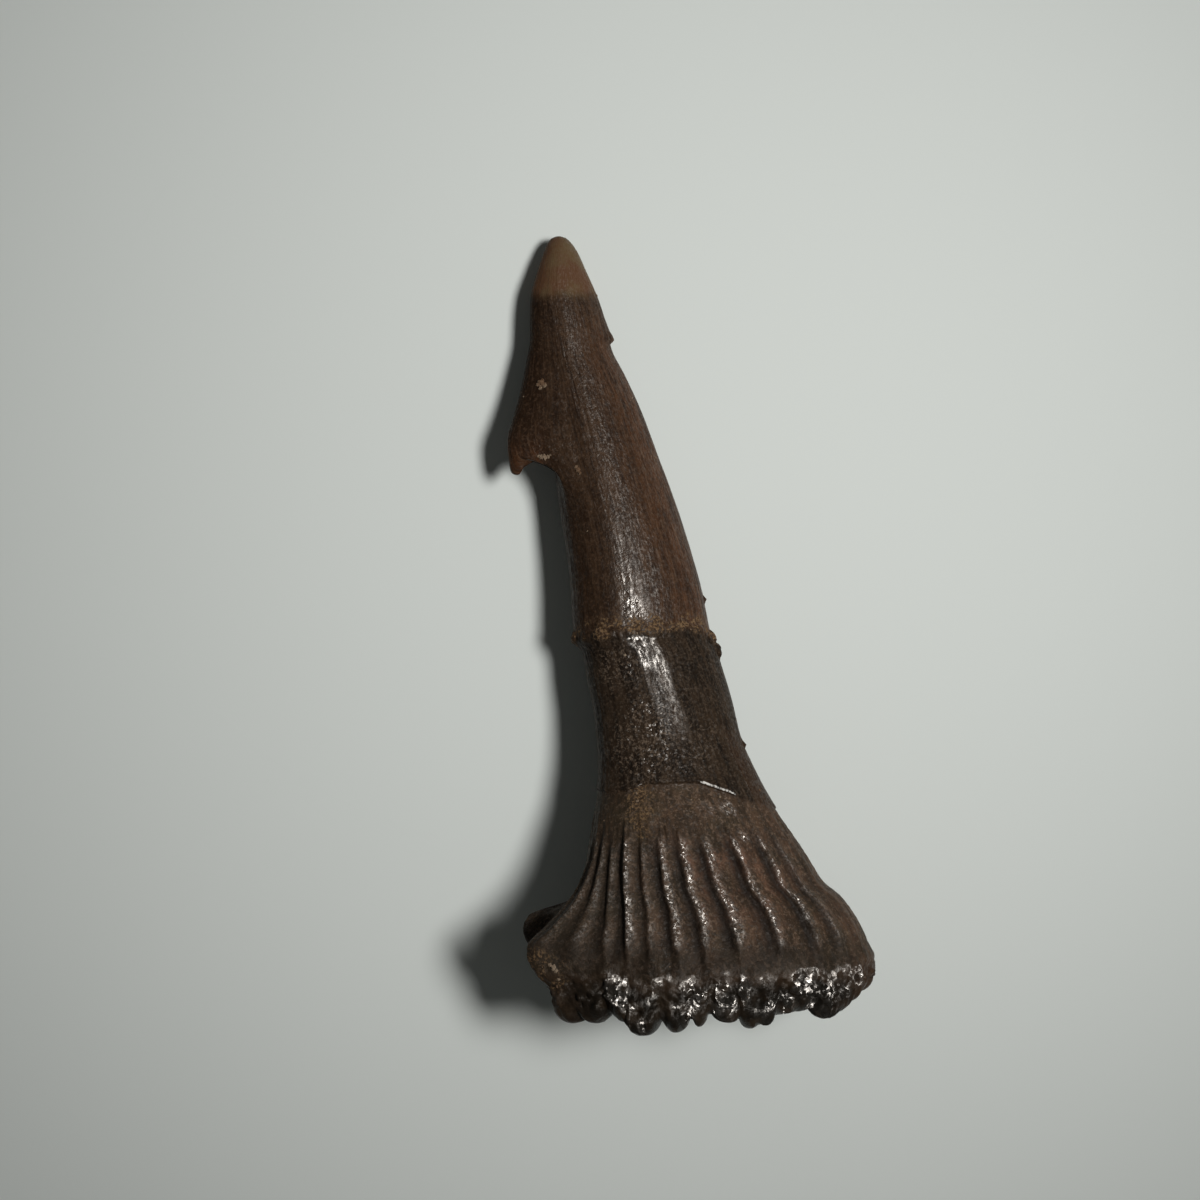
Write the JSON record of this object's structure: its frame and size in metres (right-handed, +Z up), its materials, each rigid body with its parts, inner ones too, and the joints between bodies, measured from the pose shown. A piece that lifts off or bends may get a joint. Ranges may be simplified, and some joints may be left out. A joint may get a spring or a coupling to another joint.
{
  "type": "fossil sawfish tooth",
  "caption": "Fossil rostral tooth of a barbed sawfish, lying on its side: slender crown with a hooked barb, healed break, fluted flaring base and knobbly rim.",
  "frame": {"origin": "on the floor, under the middle of the tooth's box as it lies", "axes": "+Y towards the tip, +X towards the front (anterior) edge without a barb, +Z up from the surface that it lies on"},
  "size_m": [0.0238, 0.0511, 0.0125],
  "materials": {
    "fossil_enamel": "satin"
  },
  "bodies": {
    "root": {"sawfish_tooth": "fossil_enamel"}
  },
  "joints": []
}
